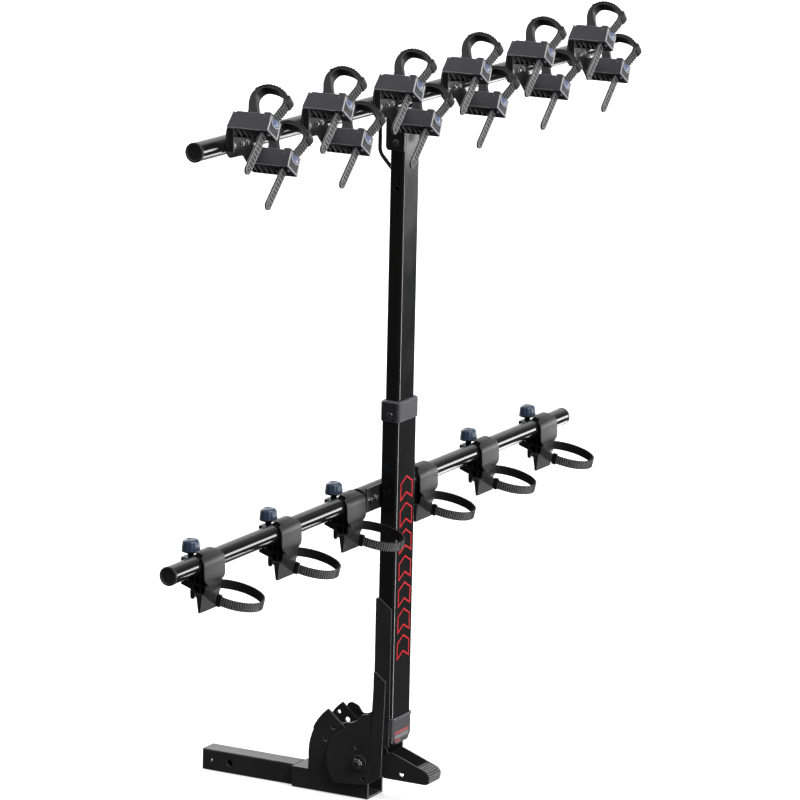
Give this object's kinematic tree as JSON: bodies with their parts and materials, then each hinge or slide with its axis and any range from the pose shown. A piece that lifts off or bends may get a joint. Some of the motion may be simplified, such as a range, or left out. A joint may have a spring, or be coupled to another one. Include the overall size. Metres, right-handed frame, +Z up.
{
  "type": "hitch mounted bike rack",
  "caption": "Tilting hitch rack: square shank, folding mast with foot pedal lock, two crossbars, handlebar hangers with ratchet straps above, wheel cradles with loop straps below.",
  "frame": {"origin": "middle of the hitch pin's hole in the shank", "axes": "+X along the crossbars, +Y towards the car and the receiver, +Z up along the mast"},
  "size_m": [1.8895, 0.6255, 1.759],
  "materials": {
    "coat": "satin black powder coat",
    "gloss": "semi-gloss black powder coat",
    "zinc": "zinc plated",
    "plastic": "textured",
    "slate_blue": "satin",
    "strap": "satin"
  },
  "bodies": {
    "base": {"hitch_shank": "coat", "base_bracket": "coat", "pivot_bolt": "zinc", "pivot_nut": "zinc"},
    "mast": {"tilt_frame": "coat", "mast_channel": "coat", "lock_arm": "coat", "pedal_axle": "zinc", "mast_cup": "plastic", "lower_mast": "gloss", "mast_collar": "plastic", "collar_bolt": "zinc", "lower_bar_bracket": "coat", "lower_crossbar": "gloss", "lower_end_cap_left": "plastic", "lower_end_cap_right": "plastic", "upper_mast": "gloss", "upper_bar_saddle": "coat", "cable_hoop": "coat", "upper_crossbar": "gloss", "upper_end_cap_left": "plastic", "upper_end_cap_right": "plastic", "hanger_1": "plastic", "hanger_2": "plastic", "hanger_3": "plastic", "hanger_4": "plastic", "hanger_5": "plastic", "hanger_6": "plastic"},
    "pedal": {"foot_pedal": "coat"},
    "lock": {"lock_pin": "zinc"},
    "cradle_1": {"wheel_cradle_1": "plastic", "wheel_strap_1": "strap"},
    "knob_1": {"cradle_knob_1": "slate_blue"},
    "cradle_2": {"wheel_cradle_2": "plastic", "wheel_strap_2": "strap"},
    "knob_2": {"cradle_knob_2": "slate_blue"},
    "cradle_3": {"wheel_cradle_3": "plastic", "wheel_strap_3": "strap"},
    "knob_3": {"cradle_knob_3": "slate_blue"},
    "cradle_4": {"wheel_cradle_4": "plastic", "wheel_strap_4": "strap"},
    "knob_4": {"cradle_knob_4": "slate_blue"},
    "cradle_5": {"wheel_cradle_5": "plastic", "wheel_strap_5": "strap"},
    "knob_5": {"cradle_knob_5": "slate_blue"},
    "cradle_6": {"wheel_cradle_6": "plastic", "wheel_strap_6": "strap"},
    "knob_6": {"cradle_knob_6": "slate_blue"},
    "button_1a": {"ratchet_button_1a": "slate_blue"},
    "button_1b": {"ratchet_button_1b": "slate_blue"},
    "button_2a": {"ratchet_button_2a": "slate_blue"},
    "button_2b": {"ratchet_button_2b": "slate_blue"},
    "button_3a": {"ratchet_button_3a": "slate_blue"},
    "button_3b": {"ratchet_button_3b": "slate_blue"},
    "button_4a": {"ratchet_button_4a": "slate_blue"},
    "button_4b": {"ratchet_button_4b": "slate_blue"},
    "button_5a": {"ratchet_button_5a": "slate_blue"},
    "button_5b": {"ratchet_button_5b": "slate_blue"},
    "button_6a": {"ratchet_button_6a": "slate_blue"},
    "button_6b": {"ratchet_button_6b": "slate_blue"}
  },
  "joints": [
    {"name": "mast_tilt", "type": "hinge", "parent": "base", "child": "mast", "pos_m": [0, -0.3567, 0.0639], "axis": [1, 0, 0], "range_deg": [0, 40.6]},
    {"name": "foot_pedal_press", "type": "hinge", "parent": "mast", "child": "pedal", "pos_m": [0, -0.4, 0.06], "axis": [1, 0, 0], "range_deg": [0, 15], "stiffness_Nm_per_rad": 12, "springref_deg": -8.59},
    {"name": "lock_pin_slide", "type": "slide", "parent": "mast", "child": "lock", "axis": [1, 0, 0], "range_m": [0, 0.01]},
    {"name": "cradle_1_slide", "type": "slide", "parent": "mast", "child": "cradle_1", "axis": [1, 0, 0], "range_m": [-0.06, 0.06]},
    {"name": "cradle_1_knob_turn", "type": "hinge", "parent": "cradle_1", "child": "knob_1", "pos_m": [-0.787, -0.3351, 0.6962], "axis": [0, 0, 1], "continuous": true},
    {"name": "cradle_2_slide", "type": "slide", "parent": "mast", "child": "cradle_2", "axis": [1, 0, 0], "range_m": [-0.06, 0.06]},
    {"name": "cradle_2_knob_turn", "type": "hinge", "parent": "cradle_2", "child": "knob_2", "pos_m": [-0.453, -0.3351, 0.6962], "axis": [0, 0, 1], "continuous": true},
    {"name": "cradle_3_slide", "type": "slide", "parent": "mast", "child": "cradle_3", "axis": [1, 0, 0], "range_m": [-0.06, 0.008]},
    {"name": "cradle_3_knob_turn", "type": "hinge", "parent": "cradle_3", "child": "knob_3", "pos_m": [-0.157, -0.3351, 0.6962], "axis": [0, 0, 1], "continuous": true},
    {"name": "cradle_4_slide", "type": "slide", "parent": "mast", "child": "cradle_4", "axis": [1, 0, 0], "range_m": [-0.03, 0.06]},
    {"name": "cradle_4_knob_turn", "type": "hinge", "parent": "cradle_4", "child": "knob_4", "pos_m": [0.19, -0.3351, 0.6962], "axis": [0, 0, 1], "continuous": true},
    {"name": "cradle_5_slide", "type": "slide", "parent": "mast", "child": "cradle_5", "axis": [1, 0, 0], "range_m": [-0.06, 0.06]},
    {"name": "cradle_5_knob_turn", "type": "hinge", "parent": "cradle_5", "child": "knob_5", "pos_m": [0.5, -0.3351, 0.6962], "axis": [0, 0, 1], "continuous": true},
    {"name": "cradle_6_slide", "type": "slide", "parent": "mast", "child": "cradle_6", "axis": [1, 0, 0], "range_m": [-0.06, 0.06]},
    {"name": "cradle_6_knob_turn", "type": "hinge", "parent": "cradle_6", "child": "knob_6", "pos_m": [0.809, -0.3351, 0.6962], "axis": [0, 0, 1], "continuous": true},
    {"name": "button_1a_press", "type": "slide", "parent": "mast", "child": "button_1a", "axis": [-0.1591, 0.9744, -0.1591], "range_m": [0, 0.004], "stiffness_N_per_m": 500, "springref_m": -0.002},
    {"name": "button_1b_press", "type": "slide", "parent": "mast", "child": "button_1b", "axis": [-0.1591, 0.9744, -0.1591], "range_m": [0, 0.004], "stiffness_N_per_m": 500, "springref_m": -0.002},
    {"name": "button_2a_press", "type": "slide", "parent": "mast", "child": "button_2a", "axis": [-0.1591, 0.9744, -0.1591], "range_m": [0, 0.004], "stiffness_N_per_m": 500, "springref_m": -0.002},
    {"name": "button_2b_press", "type": "slide", "parent": "mast", "child": "button_2b", "axis": [-0.1591, 0.9744, -0.1591], "range_m": [0, 0.004], "stiffness_N_per_m": 500, "springref_m": -0.002},
    {"name": "button_3a_press", "type": "slide", "parent": "mast", "child": "button_3a", "axis": [-0.1591, 0.9744, -0.1591], "range_m": [0, 0.004], "stiffness_N_per_m": 500, "springref_m": -0.002},
    {"name": "button_3b_press", "type": "slide", "parent": "mast", "child": "button_3b", "axis": [-0.1591, 0.9744, -0.1591], "range_m": [0, 0.004], "stiffness_N_per_m": 500, "springref_m": -0.002},
    {"name": "button_4a_press", "type": "slide", "parent": "mast", "child": "button_4a", "axis": [-0.1591, 0.9744, -0.1591], "range_m": [0, 0.004], "stiffness_N_per_m": 500, "springref_m": -0.002},
    {"name": "button_4b_press", "type": "slide", "parent": "mast", "child": "button_4b", "axis": [-0.1591, 0.9744, -0.1591], "range_m": [0, 0.004], "stiffness_N_per_m": 500, "springref_m": -0.002},
    {"name": "button_5a_press", "type": "slide", "parent": "mast", "child": "button_5a", "axis": [-0.1591, 0.9744, -0.1591], "range_m": [0, 0.004], "stiffness_N_per_m": 500, "springref_m": -0.002},
    {"name": "button_5b_press", "type": "slide", "parent": "mast", "child": "button_5b", "axis": [-0.1591, 0.9744, -0.1591], "range_m": [0, 0.004], "stiffness_N_per_m": 500, "springref_m": -0.002},
    {"name": "button_6a_press", "type": "slide", "parent": "mast", "child": "button_6a", "axis": [-0.1591, 0.9744, -0.1591], "range_m": [0, 0.004], "stiffness_N_per_m": 500, "springref_m": -0.002},
    {"name": "button_6b_press", "type": "slide", "parent": "mast", "child": "button_6b", "axis": [-0.1591, 0.9744, -0.1591], "range_m": [0, 0.004], "stiffness_N_per_m": 500, "springref_m": -0.002}
  ],
  "couplings": [
    {"joint": "lock_pin_slide", "follows": "foot_pedal_press", "m_per_rad": 0.03816}
  ]
}
